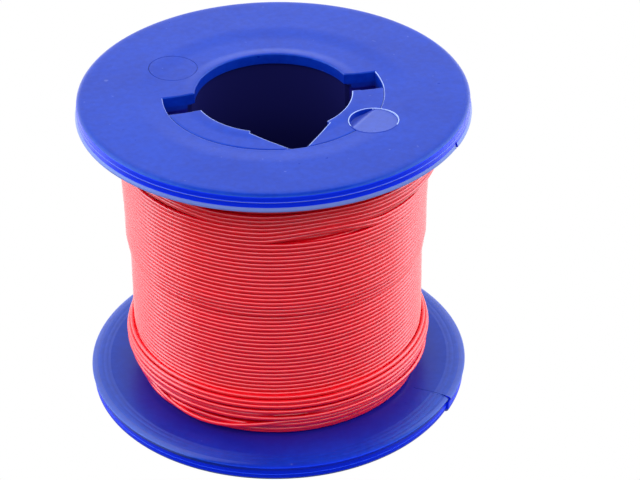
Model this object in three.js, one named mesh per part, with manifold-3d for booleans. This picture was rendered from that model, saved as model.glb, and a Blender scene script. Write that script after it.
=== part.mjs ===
// Wire spool: a blue moulded spool with a keyed bore, wound with about 100 m of red hook-up wire.
//
// Units are millimetres and +Z is up. The spool stands on its lower flange, with the origin on its
// axis at the floor. The two drive slots lie along X, and the key notch points to -Y.

import * as THREE from 'three';
import { mergeVertices } from 'three/addons/utils/BufferGeometryUtils.js';
import Module from 'manifold-3d';

const wasm = await Module();
wasm.setup();

// ---- Driving dimensions ------------------------------------------------------------------------

const SPOOL = {
  height: 81,
  flangeRadius: 47.5,
  flangeThickness: 4.75,
  boreRadius: 18.8,
  seamRadius: 26.5, // outer ends of the slots and of the hub plates
  barrelRadius: 29,
  wall: 1.1, // barrel, sleeve and ribs
};
const WIRE = { diameter: 1.1, layers: 7 };

// Neighbouring pieces of the spool keep this clearance.
const GAP = 0.3;

// ---- Sizes of single features -------------------------------------------------------------------

const RIM = { roundOver: 1.6, roundDrop: 1.4, wallEnd: 3.05, bevelWidth: 4.7 };
const HUB_RECESS = { depth: 0.3, inner: 28, outer: 30 };
const SLOT_HALF_WIDTH = 4;
const NOTCH = { mouthRadius: 19.7, mouthHalfAngle: 0.513, bottomHalfWidth: 1.85 };
const MARK = { radius: 5.9, centreRadius: 27.4, depth: 0.2, scallopDepth: 1.3 };
const MARK_ANGLES = [-43.8, 140].map(THREE.MathUtils.degToRad);
const LOCK_SLIT = { angle: THREE.MathUtils.degToRad(-39), width: 1.2, length: 2.6 };
const RIB_ANGLES = [45, 90, 135, 225, 315].map(THREE.MathUtils.degToRad);

const LAYER_STEP = WIRE.diameter * Math.sin(Math.PI / 3);
const LAYER_GAP = 0.2;
const WINDING_RADIUS = SPOOL.barrelRadius + GAP + WIRE.diameter + (WIRE.layers - 1) * LAYER_STEP;
const WINDING = {
  bottom: SPOOL.flangeThickness + GAP,
  top: SPOOL.height - SPOOL.flangeThickness - GAP,
  upperLayerBottom: 39.5,
  crossingBottom: 70,
  looseTop: 18.2,
  looseFoot: 10, // the last full layer starts here, and the loose turns fill the space below it
  crossingRadius: WINDING_RADIUS + LAYER_GAP + 1.9,
  upperLayerRadius: WINDING_RADIUS + WIRE.diameter,
  looseRadius: WINDING_RADIUS + 2,
};
const WIRE_END = { from: 0.95, to: 1.75, high: 13.5, low: 9.5, bare: 0.5, socket: 2, copperRadius: 0.25 };

const FLANGE_SEGMENTS = 72;
const WINDING_SEGMENTS = 48;
const ARC_STEP = THREE.MathUtils.degToRad(5);

// ---- Materials ------------------------------------------------------------------------------------

const spoolBlue = new THREE.MeshStandardMaterial({ color: 0x1226b4, roughness: 0.35, metalness: 0 });
const wireRed = new THREE.MeshStandardMaterial({ color: 0xc41425, roughness: 0.4, metalness: 0 });
const copper = new THREE.MeshStandardMaterial({ color: 0xc9764a, roughness: 0.35, metalness: 1 });

// ---- Solids and cuts ------------------------------------------------------------------------------

function toSolid(geometry) {
  const bare = geometry.clone();
  bare.deleteAttribute('normal');
  bare.deleteAttribute('uv');
  const welded = mergeVertices(bare);
  return new wasm.Manifold(new wasm.Mesh({
    numProp: 3,
    vertProperties: new Float32Array(welded.attributes.position.array),
    triVerts: new Uint32Array(welded.index.array),
  }));
}

function toGeometry(solid) {
  const mesh = solid.getMesh();
  const geometry = new THREE.BufferGeometry();
  geometry.setAttribute('position', new THREE.BufferAttribute(mesh.vertProperties, 3));
  geometry.setIndex(new THREE.BufferAttribute(mesh.triVerts, 1));
  geometry.computeVertexNormals();
  return geometry;
}

function cut(geometry, tools) {
  const whole = toSolid(geometry);
  return toGeometry(tools.reduce((solid, tool) => solid.subtract(toSolid(tool)), whole));
}

// A ring turned about Z from a closed [radius, height] profile that runs anticlockwise.
function turned(profile, segments) {
  const points = [...profile, profile[0]].map(([radius, height]) => new THREE.Vector2(radius, height));
  return new THREE.LatheGeometry(points, segments).rotateX(Math.PI / 2);
}

function turnedTube(innerRadius, outerRadius, low, high, segments) {
  return turned([[outerRadius, low], [outerRadius, high], [innerRadius, high], [innerRadius, low]], segments);
}

// A flat outline of [x, y] points, with further outlines as holes, raised from one height to another.
function raised(outline, low, high, holes = []) {
  const toPoints = (list) => list.map(([x, y]) => new THREE.Vector2(x, y));
  const shape = new THREE.Shape(toPoints(outline));
  shape.holes = holes.map((hole) => new THREE.Path(toPoints(hole)));
  const depth = high - low;
  return new THREE.ExtrudeGeometry(shape, { depth, bevelEnabled: false }).translate(0, 0, low);
}

function polar(radius, angle) {
  return [radius * Math.cos(angle), radius * Math.sin(angle)];
}

function arc(radius, from, to) {
  const steps = Math.max(1, Math.ceil(Math.abs(to - from) / ARC_STEP));
  const angles = Array.from({ length: steps + 1 }, (_, i) => from + ((to - from) * i) / steps);
  return angles.map((angle) => polar(radius, angle));
}

function upright(radius, [x, y], low, high) {
  const cylinder = new THREE.CylinderGeometry(radius, radius, high - low, 32).rotateX(Math.PI / 2);
  return cylinder.translate(x, y, (low + high) / 2);
}

// The same geometry seen in a mirror at the spool's middle height.
function flipped(geometry) {
  return geometry.clone().rotateX(Math.PI).translate(0, 0, SPOOL.height);
}

// ---- Keyed opening ----------------------------------------------------------------------------------

// The notch's right side, from its mouth to its bottom, moved outwards by a wall thickness.
function notchSide(endRadius, wall) {
  const mouthAngle = -Math.PI / 2 + NOTCH.mouthHalfAngle;
  const mouth = new THREE.Vector2(...polar(NOTCH.mouthRadius, mouthAngle));
  const bottom = new THREE.Vector2(NOTCH.bottomHalfWidth, -SPOOL.seamRadius);
  const along = bottom.clone().sub(mouth).normalize();
  const outward = new THREE.Vector2(-along.y, along.x);
  const start = mouth.clone().addScaledVector(outward, wall);
  const reach = (-(endRadius + wall) - start.y) / along.y;
  const end = start.clone().addScaledVector(along, reach);
  return { start, end };
}

// The whole opening: round bore, two slots and the notch, grown on every side by a wall thickness.
function keyedOutline(endRadius, wall) {
  const bore = SPOOL.boreRadius + wall;
  const end = endRadius + wall;
  const half = SLOT_HALF_WIDTH + wall;
  const boreCorner = Math.asin(half / bore);
  const endCorner = Math.asin(half / end);
  const { start, end: bottom } = notchSide(endRadius, wall);
  const mouthAngle = Math.atan2(start.y, start.x);
  return [
    ...arc(bore, boreCorner, Math.PI - boreCorner),
    ...arc(end, Math.PI - endCorner, Math.PI + endCorner),
    ...arc(bore, Math.PI + boreCorner, Math.PI - mouthAngle),
    [-start.x, start.y],
    [-bottom.x, bottom.y],
    [bottom.x, bottom.y],
    [start.x, start.y],
    ...arc(bore, mouthAngle, -boreCorner),
    ...arc(end, -endCorner, endCorner),
  ];
}

// ---- Flanges ----------------------------------------------------------------------------------------

// The lower flange's section, with its outer face at the floor and its bevelled rim above.
function flangeProfile() {
  const { flangeRadius: rim, flangeThickness: thickness } = SPOOL;
  const socketInner = SPOOL.barrelRadius - SPOOL.wall - GAP;
  const socketOuter = SPOOL.barrelRadius + GAP;
  const socketFloor = thickness - SPOOL.wall - GAP;
  const inner = SPOOL.boreRadius - 2;
  return [
    [inner, HUB_RECESS.depth],
    [HUB_RECESS.inner, HUB_RECESS.depth],
    [HUB_RECESS.outer, 0],
    [rim - RIM.roundOver, 0],
    [rim - RIM.roundOver * 0.4, RIM.roundDrop * 0.25],
    [rim, RIM.roundDrop],
    [rim, RIM.wallEnd],
    [rim - RIM.bevelWidth, thickness],
    [socketOuter, thickness],
    [socketOuter, socketFloor],
    [socketInner, socketFloor],
    [socketInner, thickness],
    [inner, thickness],
  ];
}

// The flange reaches the bore behind the slots, and stops at the hub plates' seam in front of them.
function flangeOpening() {
  const boreCorner = Math.asin(SLOT_HALF_WIDTH / SPOOL.boreRadius);
  const endCorner = Math.asin(SLOT_HALF_WIDTH / SPOOL.seamRadius);
  const outline = [
    ...arc(SPOOL.boreRadius, boreCorner, Math.PI - boreCorner),
    ...arc(SPOOL.seamRadius, Math.PI - endCorner, 2 * Math.PI + endCorner),
  ];
  return raised(outline, -1, SPOOL.flangeThickness + 1);
}

function lockSlit() {
  const { width, length, angle } = LOCK_SLIT;
  const depth = SPOOL.flangeThickness - RIM.roundDrop;
  const box = new THREE.BoxGeometry(length + 1, width, depth + 1);
  box.translate(SPOOL.flangeRadius - length / 2 + 0.5, 0, RIM.roundDrop + (depth + 1) / 2);
  return box.rotateZ(angle);
}

function lowerFlange() {
  return cut(turned(flangeProfile(), FLANGE_SEGMENTS), [flangeOpening(), lockSlit()]);
}

// Turning the lower flange over about X puts its front at the back, so it is then turned half round
// and its slit, which lies on the same side of both flanges, is cut afterwards.
function upperFlange() {
  const blank = cut(turned(flangeProfile(), FLANGE_SEGMENTS), [flangeOpening()]);
  const upper = flipped(blank).rotateZ(Math.PI);
  const slit = flipped(lockSlit().rotateZ(-2 * LOCK_SLIT.angle));
  const floor = SPOOL.height - MARK.depth;
  const marks = MARK_ANGLES.map((angle) => (
    upright(MARK.radius, polar(MARK.centreRadius, angle), floor - HUB_RECESS.depth, SPOOL.height + 1)
  ));
  return cut(upper, [slit, ...marks]);
}

// One hub plate: a curved web between the bore and the seam, from a slot to the notch.
function hubPlate(side) {
  const outer = SPOOL.seamRadius - GAP;
  const boreCorner = Math.asin(SLOT_HALF_WIDTH / SPOOL.boreRadius);
  const outerCorner = Math.asin(SLOT_HALF_WIDTH / outer);
  const { start } = notchSide(SPOOL.seamRadius, 0);
  const bottomAngle = -Math.PI / 2 + Math.asin(NOTCH.bottomHalfWidth / outer);
  const mouthAngle = Math.atan2(start.y, start.x);
  const outline = [
    ...arc(outer, bottomAngle, -outerCorner),
    ...arc(SPOOL.boreRadius, -boreCorner, mouthAngle),
    [start.x, start.y],
  ];
  return outline.map(([x, y]) => [side * x, y]);
}

function lowerHubPlate(side) {
  return raised(hubPlate(side), HUB_RECESS.depth, SPOOL.flangeThickness);
}

function upperHubPlate(side) {
  const face = SPOOL.height - HUB_RECESS.depth;
  const plate = raised(hubPlate(side), SPOOL.height - SPOOL.flangeThickness, face);
  if (side < 0) return plate;
  const centre = polar(MARK.centreRadius, MARK_ANGLES[0]);
  return cut(plate, [upright(MARK.radius, centre, face - MARK.scallopDepth, face + 1)]);
}

// ---- Core ---------------------------------------------------------------------------------------------

function windingBarrel() {
  const socket = SPOOL.flangeThickness - SPOOL.wall;
  const inner = SPOOL.barrelRadius - SPOOL.wall;
  return turnedTube(inner, SPOOL.barrelRadius, socket, SPOOL.height - socket, WINDING_SEGMENTS);
}

const SLEEVE_END_RADIUS = SPOOL.barrelRadius - 2 * SPOOL.wall - GAP;

function coreSleeve() {
  const outside = keyedOutline(SLEEVE_END_RADIUS, SPOOL.wall);
  const inside = keyedOutline(SLEEVE_END_RADIUS, 0);
  return raised(outside, WINDING.bottom, WINDING.top, [inside]);
}

function coreRib(angle) {
  const inner = SPOOL.boreRadius + SPOOL.wall + GAP;
  const outer = SPOOL.barrelRadius - SPOOL.wall - GAP;
  const box = new THREE.BoxGeometry(outer - inner, SPOOL.wall, WINDING.top - WINDING.bottom);
  return box.translate((inner + outer) / 2, 0, SPOOL.height / 2).rotateZ(angle);
}

// ---- Winding -------------------------------------------------------------------------------------------

function layerInnerRadius(number) {
  return SPOOL.barrelRadius + GAP + (number - 1) * LAYER_STEP;
}

// Turns of every second layer sit in the grooves of the layer below, half a turn in from each flange.
function wireLayer(number) {
  const isLast = number === WIRE.layers;
  const inner = layerInnerRadius(number);
  const outer = isLast ? WINDING_RADIUS : inner + LAYER_STEP - LAYER_GAP;
  const inset = number % 2 === 0 ? WIRE.diameter / 2 : 0;
  const low = isLast ? WINDING.looseFoot + LAYER_GAP : WINDING.bottom + inset;
  return turnedTube(inner, outer, low, WINDING.top - inset, WINDING_SEGMENTS);
}

// An incomplete layer outside the last full one.
function outerTurns(outerRadius, low, high) {
  return turnedTube(WINDING_RADIUS + LAYER_GAP, outerRadius, low, high, WINDING_SEGMENTS);
}

// The loose turns draw in towards the flange, below the foot of the last full layer.
function looseTurns() {
  const upperInner = WINDING_RADIUS + LAYER_GAP;
  const lowerInner = layerInnerRadius(WIRE.layers);
  const outer = WINDING.looseRadius;
  const { bottom: low, looseFoot: foot, looseTop: high } = WINDING;
  const turn = WIRE.diameter;
  const profile = [
    [lowerInner + turn, low], [outer, foot + 2 * turn], [outer, high - turn], [outer - turn, high],
    [upperInner, high], [upperInner, foot], [lowerInner, foot], [lowerInner, low],
  ];
  return turned(profile, WINDING_SEGMENTS);
}

// The last of the wire lies on the loose turns at the back and slopes down to its cut end.
function wireEndPath() {
  const radius = WINDING.looseRadius + LAYER_GAP + WIRE.diameter / 2;
  const { from, to, high, low } = WIRE_END;
  const at = (t) => new THREE.Vector3(...polar(radius, from + (to - from) * t), high + (low - high) * t);
  return new THREE.CatmullRomCurve3([0, 0.25, 0.5, 0.75, 1].map(at));
}

// Places a piece that lies along +Z from its own origin at the wire's cut end, pointing outwards.
function placeAtCutEnd(geometry) {
  const path = wireEndPath();
  const turn = new THREE.Quaternion();
  turn.setFromUnitVectors(new THREE.Vector3(0, 0, 1), path.getTangent(1));
  return geometry.applyQuaternion(turn).translate(...path.getPoint(1).toArray());
}

function rod(radius, from, to) {
  const cylinder = new THREE.CylinderGeometry(radius, radius, to - from, 12).rotateX(Math.PI / 2);
  return placeAtCutEnd(cylinder.translate(0, 0, (from + to) / 2));
}

function wireEnd() {
  const section = new THREE.Shape(arc(WIRE.diameter / 2, 0, 2 * Math.PI).slice(0, -1)
    .filter((_, i) => i % 6 === 0).map(([x, y]) => new THREE.Vector2(x, y)));
  const jacket = new THREE.ExtrudeGeometry(section, { steps: 14, extrudePath: wireEndPath() });
  return cut(jacket, [rod(WIRE_END.copperRadius + 0.05, -WIRE_END.socket, 1)]);
}

function wireEndCopper() {
  return rod(WIRE_END.copperRadius, 0.1 - WIRE_END.socket, WIRE_END.bare);
}

// ---- Assembly --------------------------------------------------------------------------------------------

const spool = new THREE.Group();

function add(name, geometry, material) {
  const mesh = new THREE.Mesh(geometry, material);
  mesh.name = name;
  spool.add(mesh);
}

add('upper_flange', upperFlange(), spoolBlue);
add('lower_flange', lowerFlange(), spoolBlue);
[[-1, 'left'], [1, 'right']].forEach(([side, word]) => {
  add(`upper_hub_plate_${word}`, upperHubPlate(side), spoolBlue);
  add(`lower_hub_plate_${word}`, lowerHubPlate(side), spoolBlue);
});
add('winding_barrel', windingBarrel(), spoolBlue);
add('core_sleeve', coreSleeve(), spoolBlue);
RIB_ANGLES.forEach((angle, i) => add(`core_rib_${i + 1}`, coreRib(angle), spoolBlue));
for (let number = 1; number <= WIRE.layers; number += 1) {
  add(`wire_layer_${number}`, wireLayer(number), wireRed);
}
const { upperLayerRadius, upperLayerBottom, crossingRadius, crossingBottom, top } = WINDING;
add('wire_upper_layer', outerTurns(upperLayerRadius, upperLayerBottom, crossingBottom - GAP), wireRed);
add('wire_crossing_turns', outerTurns(crossingRadius, crossingBottom, top), wireRed);
add('wire_loose_turns', looseTurns(), wireRed);
add('wire_end_jacket', wireEnd(), wireRed);
add('wire_end_copper', wireEndCopper(), copper);

export default spool;
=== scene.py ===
"""Looks of the wire spool: a blue moulded spool wound with red hook-up wire.

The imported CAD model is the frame, and every place and main size comes from it. Lengths in this
script are millimetres and become metres when a mesh is made. Angles are measured about +Z from +X,
in degrees where a name says so and in radians otherwise.
"""

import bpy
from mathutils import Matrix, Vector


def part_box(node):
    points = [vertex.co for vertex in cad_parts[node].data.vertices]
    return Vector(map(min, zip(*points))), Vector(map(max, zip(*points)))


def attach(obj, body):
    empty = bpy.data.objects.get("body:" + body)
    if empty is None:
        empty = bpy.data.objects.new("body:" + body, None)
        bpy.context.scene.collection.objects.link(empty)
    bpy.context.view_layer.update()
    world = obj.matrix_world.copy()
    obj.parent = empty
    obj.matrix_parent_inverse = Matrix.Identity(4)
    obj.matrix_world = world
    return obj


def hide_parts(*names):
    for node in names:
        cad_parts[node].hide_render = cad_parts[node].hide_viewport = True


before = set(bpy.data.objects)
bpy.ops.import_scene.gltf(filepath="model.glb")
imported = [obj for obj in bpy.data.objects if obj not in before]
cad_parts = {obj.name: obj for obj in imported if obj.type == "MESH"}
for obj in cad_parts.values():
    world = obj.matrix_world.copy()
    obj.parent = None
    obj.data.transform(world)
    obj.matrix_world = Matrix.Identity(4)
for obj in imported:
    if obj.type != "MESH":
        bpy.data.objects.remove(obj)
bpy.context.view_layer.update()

import math

import bmesh
import bpy
import numpy as np
from mathutils import Matrix, Vector

MM = 0.001
TINY = 1e-6


# ---- Sizes from the frame ----

def radii(node):
    """Least and greatest distance of a CAD node's corners from the spool's axis."""
    points = np.array([vertex.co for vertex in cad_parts[node].data.vertices]) / MM
    distance = np.hypot(points[:, 0], points[:, 1])
    return distance.min(), distance.max()


def low_and_high(node):
    """Lowest and highest corner of a CAD node."""
    return [np.array(corner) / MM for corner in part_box(node)]


CLEARANCE = 0.3  # between neighbouring CAD pieces
HEIGHT = low_and_high("upper_flange")[1][2]
THICKNESS = low_and_high("lower_flange")[1][2]
BORE_RADIUS, FLANGE_RADIUS = radii("upper_flange")
SEAM_RADIUS = radii("upper_hub_plate_right")[1] + CLEARANCE
BARREL_INNER, BARREL_OUTER = radii("winding_barrel")
BARREL_END = low_and_high("winding_barrel")[0][2]
SLOT_HALF = -low_and_high("upper_hub_plate_right")[1][1]
WALL = BARREL_OUTER - BARREL_INNER
SLEEVE_END = BARREL_OUTER - 2 * WALL - CLEARANCE

WIRE = 1.1
WIRE_RADIUS = WIRE / 2
PRESSED_RADIUS = 1.07 * WIRE_RADIUS  # neighbouring turns press into each other a little
LAYERS = 7
WINDING_BOTTOM, WINDING_TOP = (corner[2] for corner in low_and_high("wire_layer_1"))
WINDING_RADIUS = radii("wire_layer_7")[1]
LOOSE_RADIUS = radii("wire_loose_turns")[1]
UPPER_LAYER_BOTTOM, UPPER_LAYER_TOP = (corner[2] for corner in low_and_high("wire_upper_layer"))

WEB = 2.8  # thickness of the flange where it meets the bore, with an undercut behind
MARK = {
    "radius": 5.9, "centre_radius": 27.4, "groove": 0.22, "groove_depth": 0.2, "floor": 0.12,
    "deepest": 1.35, "burr": 0.12, "burr_height": 0.05,
}
SCOOP_RADIUS = MARK["radius"] - MARK["burr"]
SUNKEN_MARK_DEGREES, FLUSH_MARK_DEGREES = -43.8, 140.0


def mark_centre(degrees):
    angle = math.radians(degrees)
    return MARK["centre_radius"] * np.array([math.cos(angle), math.sin(angle)])


# ---- Camera ----

# Aside, above and distance are in flange radii, from the middle of the top face.
CAMERA = {
    "azimuth": -13.5, "elevation": 32.96, "roll": -0.528,
    "aside": -0.2348, "above": 0.7479, "distance": 12.505, "lens": 139.9,
}


def add_camera():
    azimuth, elevation, roll = (math.radians(CAMERA[k]) for k in ("azimuth", "elevation", "roll"))
    level = Vector((math.sin(azimuth), -math.cos(azimuth), 0))
    back = level * math.cos(elevation) + Vector((0, 0, math.sin(elevation)))
    right = Vector((math.cos(azimuth), math.sin(azimuth), 0))
    up = back.cross(right)
    turned_right = math.cos(roll) * right + math.sin(roll) * up
    turned_up = math.cos(roll) * up - math.sin(roll) * right
    offset = (
        CAMERA["aside"] * turned_right + CAMERA["above"] * turned_up - CAMERA["distance"] * back
    )
    place = Vector((0, 0, HEIGHT)) - offset * FLANGE_RADIUS
    turn = Matrix((turned_right, turned_up, back)).transposed().to_4x4()
    camera_data = bpy.data.cameras.new("camera")
    camera_data.lens = CAMERA["lens"]
    camera_data.sensor_width = 36
    camera = bpy.data.objects.new("camera", camera_data)
    camera.matrix_world = Matrix.Translation(place * MM) @ turn
    bpy.context.scene.collection.objects.link(camera)
    bpy.context.scene.camera = camera
    return level


TOWARDS_CAMERA = add_camera()


# ---- Node helpers ----

def connect(tree, sockets, values):
    """Links each value that is a socket, and sets the others as constants."""
    for socket, value in zip(sockets, values):
        if isinstance(value, bpy.types.NodeSocket):
            tree.links.new(value, socket)
        else:
            socket.default_value = value


def fill(tree, made, values):
    """Puts values in a node's inputs by name."""
    connect(tree, [made.inputs[name] for name in values], values.values())


def node(tree, kind, **properties):
    made = tree.nodes.new(kind)
    for name, value in properties.items():
        setattr(made, name, value)
    return made


def map_range(tree, value, low, high, to_low, to_high):
    made = node(tree, "ShaderNodeMapRange")
    connect(tree, made.inputs, (value, low, high, to_low, to_high))
    return made.outputs["Result"]


def noise(tree, coordinates, scale, detail=4.0, roughness=0.55):
    made = node(tree, "ShaderNodeTexNoise")
    fill(tree, made, {"Vector": coordinates, "Scale": scale, "Detail": detail, "Roughness": roughness})
    return made.outputs["Fac"]


def blend_colours(tree, factor, first, second):
    made = node(tree, "ShaderNodeMix", data_type="RGBA")
    colours = [(*colour, 1) if isinstance(colour, tuple) else colour for colour in (first, second)]
    connect(tree, (made.inputs[0], made.inputs[6], made.inputs[7]), (factor, *colours))
    return made.outputs[2]


def bump(tree, height, strength, distance):
    made = node(tree, "ShaderNodeBump")
    fill(tree, made, {"Height": height, "Strength": strength, "Distance": distance})
    return made


def arithmetic(tree, operation, first, second):
    made = node(tree, "ShaderNodeMath", operation=operation)
    connect(tree, made.inputs, (first, second))
    return made.outputs["Value"]


def vector_math(tree, operation, first, second):
    made = node(tree, "ShaderNodeVectorMath", operation=operation)
    connect(tree, made.inputs, (first, second))
    return made.outputs["Vector" if operation == "MULTIPLY" else "Value"]


def new_material(name):
    """A material, its node tree, its shader, and the place on the object in metres."""
    material = bpy.data.materials.new(name)
    material.use_nodes = True
    tree = material.node_tree
    tree.nodes.clear()
    shader = node(tree, "ShaderNodeBsdfPrincipled")
    fill(tree, node(tree, "ShaderNodeOutputMaterial"), {"Surface": shader.outputs["BSDF"]})
    return material, tree, shader, node(tree, "ShaderNodeTexCoord").outputs["Object"]


# ---- Materials ----

PLASTIC_DEEP, PLASTIC_PALE = (0.0008, 0.018, 0.35), (0.0015, 0.031, 0.45)
PLASTIC_TINT = (0.17, 0.46, 0.95, 1)  # of its reflections
# Painted glow: deep blue painted on the thin rims in place of light inside the plastic.
PAINTED_RIM_GLOW = (0.0005, 0.018, 0.86)
# Pale edges: partly wear, partly painted highlights where edges catch the light.
PALE_WEAR_AND_HIGHLIGHT = (0.4, 0.52, 0.98)
DUST = (0.55, 0.62, 0.9)
# Painted shade with a red cast, in place of shadow and red bounce light from the wire on the flanges'
# inner faces.
PAINTED_WIRE_SHADE = {"colour": (0.022, 0.003, 0.26), "strength": 0.7, "end": 45.0}
# Painted shade darkening the core between the webs.
PAINTED_CORE_SHADE = (0.009, 0.009, 0.09)
JACKET_DEEP, JACKET_PALE = (0.82, 0.0, 0.006), (0.92, 0.0, 0.008)
JACKET_TINT = (1, 0.85, 1, 1)
COPPER, TARNISH = (0.85, 0.4, 0.22), (0.5, 0.2, 0.1)
GLOSS_LEVEL = 0.85


def plastic_material():
    """Deep blue moulded plastic: flow clouds, mould grain, fine scuffs, dust, and pale edges of wear
    and painted highlights.
    A painted deep blue glow at the flanges' thin rims stands in for light inside the plastic, and
    painted shade with a red cast darkens their inner faces near the wire.
    Painted shade darkens the core between the webs, which is also matt and dull. The floor of the
    sunken mark is slightly paler."""
    material, tree, shader, place = new_material("spool_plastic")
    clouds = noise(tree, place, 45, detail=2)
    clouds = arithmetic(tree, "ADD", clouds, noise(tree, place, 700, detail=1))
    clouds = map_range(tree, clouds, 0.7, 1.3, 0, 1)
    colour = blend_colours(tree, clouds, PLASTIC_DEEP, PLASTIC_PALE)
    specks = map_range(tree, noise(tree, place, 620, detail=1), 0.76, 0.82, 0, 0.12)
    colour = blend_colours(tree, specks, colour, DUST)
    # The attribute carries pale wear and painted highlights, and below zero the painted deep blue rim
    # glow.
    wear_and_painted_light_value = node(tree, "ShaderNodeAttribute", attribute_name="wear_and_painted_light").outputs["Fac"]
    colour = blend_colours(tree, wear_and_painted_light_value, colour, PALE_WEAR_AND_HIGHLIGHT)
    colour = blend_colours(tree, map_range(tree, wear_and_painted_light_value, -1, 0, 1, 0), colour, PAINTED_RIM_GLOW)

    parts = node(tree, "ShaderNodeSeparateXYZ")
    connect(tree, parts.inputs, (place,))
    flat = vector_math(tree, "MULTIPLY", place, (1, 1, 0))
    radius = vector_math(tree, "DISTANCE", flat, (0, 0, 0))
    off_middle = arithmetic(tree, "SUBTRACT", parts.outputs["Z"], HEIGHT / 2 * MM)
    off_middle = arithmetic(tree, "ABSOLUTE", off_middle, 0)

    # Painted shade with a red cast, darkest beside the winding on the flanges' inner faces.
    inner_face = (HEIGHT / 2 - THICKNESS) * MM
    wire_shade = map_range(tree, radius, WINDING_RADIUS * MM, PAINTED_WIRE_SHADE["end"] * MM, PAINTED_WIRE_SHADE["strength"], 0)
    at_inner_face = map_range(tree, off_middle, inner_face, inner_face + MM, 1, 0)
    wire_shade = arithmetic(tree, "MULTIPLY", wire_shade, at_inner_face)
    colour = blend_colours(tree, wire_shade, colour, PAINTED_WIRE_SHADE["colour"])

    # Painted shade in the core between the webs, where the plastic is also matt.
    web_inside = (HEIGHT / 2 - WEB) * MM
    deep = map_range(tree, off_middle, web_inside - 0.4 * MM, web_inside, 1, 0)
    beyond_bore = map_range(tree, radius, (BORE_RADIUS + 1.6) * MM, (BORE_RADIUS + 2) * MM, 1, 0.3)
    within = map_range(tree, radius, BARREL_INNER * MM, (BARREL_INNER + 0.1) * MM, 1, 0)
    core = arithmetic(tree, "MULTIPLY", deep, arithmetic(tree, "MULTIPLY", within, beyond_bore))
    colour = blend_colours(tree, core, colour, PAINTED_CORE_SHADE)

    centre, edge = mark_centre(SUNKEN_MARK_DEGREES) * MM, MARK["radius"] * MM
    mark_distance = vector_math(tree, "DISTANCE", flat, (*centre, 0))
    marked = map_range(tree, mark_distance, 0.93 * edge, 0.96 * edge, 0.1, 0)
    at_end_face = map_range(tree, off_middle, 0.9 * web_inside, web_inside, 0, 1)
    colour = blend_colours(tree, arithmetic(tree, "MULTIPLY", marked, at_end_face), colour, DUST)

    scuffs = noise(tree, place, 190, detail=8, roughness=0.7)
    grain = bump(tree, noise(tree, place, 2600, detail=2), 0.12, 0.00005)
    waves = bump(tree, noise(tree, place, 120, detail=2), 0.12, 0.0006)
    fill(tree, grain, {"Normal": waves.outputs["Normal"]})
    fill(tree, shader, {
        "Base Color": colour, "Normal": grain.outputs["Normal"], "IOR": 1.5,
        "Roughness": arithmetic(tree, "MAXIMUM", map_range(tree, scuffs, 0.3, 0.7, 0.27, 0.4), core),
        "Specular IOR Level": map_range(tree, core, 0, 1, GLOSS_LEVEL, 0.05),
        "Specular Tint": PLASTIC_TINT,
    })
    return material


def jacket_material():
    """Red PVC jacket: slight colour change from turn to turn, and a gloss that varies."""
    material, tree, shader, place = new_material("wire_jacket")
    long_turns = node(tree, "ShaderNodeMapping")
    fill(tree, long_turns, {"Vector": place, "Scale": (1, 1, 14)})
    along = noise(tree, long_turns.outputs["Vector"], 30, detail=3)
    along = map_range(tree, along, 0.35, 0.65, 0, 1)
    grain = bump(tree, noise(tree, place, 500, detail=2), 0.03, 0.00004)
    handling = noise(tree, place, 70, detail=2)
    fill(tree, shader, {
        "Base Color": blend_colours(tree, along, JACKET_DEEP, JACKET_PALE),
        "Roughness": map_range(tree, handling, 0.3, 0.7, 0.08, 0.13),
        "Normal": grain.outputs["Normal"], "IOR": 1.66, "Specular IOR Level": GLOSS_LEVEL,
        "Specular Tint": JACKET_TINT,
    })
    return material


def copper_material():
    material, tree, shader, place = new_material("wire_copper")
    tarnish = noise(tree, place, 900, detail=5)
    dull = map_range(tree, tarnish, 0.4, 0.7, 0, 1)
    fill(tree, shader, {
        "Base Color": blend_colours(tree, dull, COPPER, TARNISH), "Metallic": 1,
        "Roughness": map_range(tree, tarnish, 0.3, 0.7, 0.22, 0.42),
    })
    return material


MATERIALS = {
    "spool_plastic": plastic_material(),
    "wire_jacket": jacket_material(),
    "wire_copper": copper_material(),
}


# ---- Meshes ----

def grid_faces(columns, rows, ring):
    """Quads of a grid whose rows close on themselves, and whose columns do too if ring is true.
    An open grid is closed by one face at each end."""
    column = np.arange(columns if ring else columns - 1)[:, None]
    row = np.arange(rows)[None, :]
    after, above = (column + 1) % columns, (row + 1) % rows
    here, there = column * rows, after * rows
    quads = np.stack([here + row, there + row, there + above, here + above], axis=-1)
    faces = quads.reshape(-1, 4).tolist()
    if not ring:
        last = (columns - 1) * rows
        faces.append(list(range(rows)))
        faces.append([last + i for i in reversed(range(rows))])
    return faces


def make_object(name, points, faces):
    """A mesh object from points in millimetres, with its faces pointing out."""
    mesh = bpy.data.meshes.new(name)
    mesh.from_pydata((np.asarray(points).reshape(-1, 3) * MM).tolist(), [], faces)
    shape = bmesh.new()
    shape.from_mesh(mesh)
    if shape.calc_volume(signed=True) < 0:
        bmesh.ops.reverse_faces(shape, faces=shape.faces)
    shape.to_mesh(mesh)
    shape.free()
    made = bpy.data.objects.new(name, mesh)
    bpy.context.scene.collection.objects.link(made)
    return made


def record_wear_and_painted_light(piece, wear_and_painted_light_at):
    """Gives each face the least wear and painted light value of its corners, for the plastic's
    material.
    """
    mesh = piece.data
    wear_and_painted_light = wear_and_painted_light_at(np.array([vertex.co for vertex in mesh.vertices]) / MM)
    values = mesh.attributes.new("wear_and_painted_light", "FLOAT", "FACE")
    values.data.foreach_set("value", [wear_and_painted_light[list(face.vertices)].min() for face in mesh.polygons])


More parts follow.
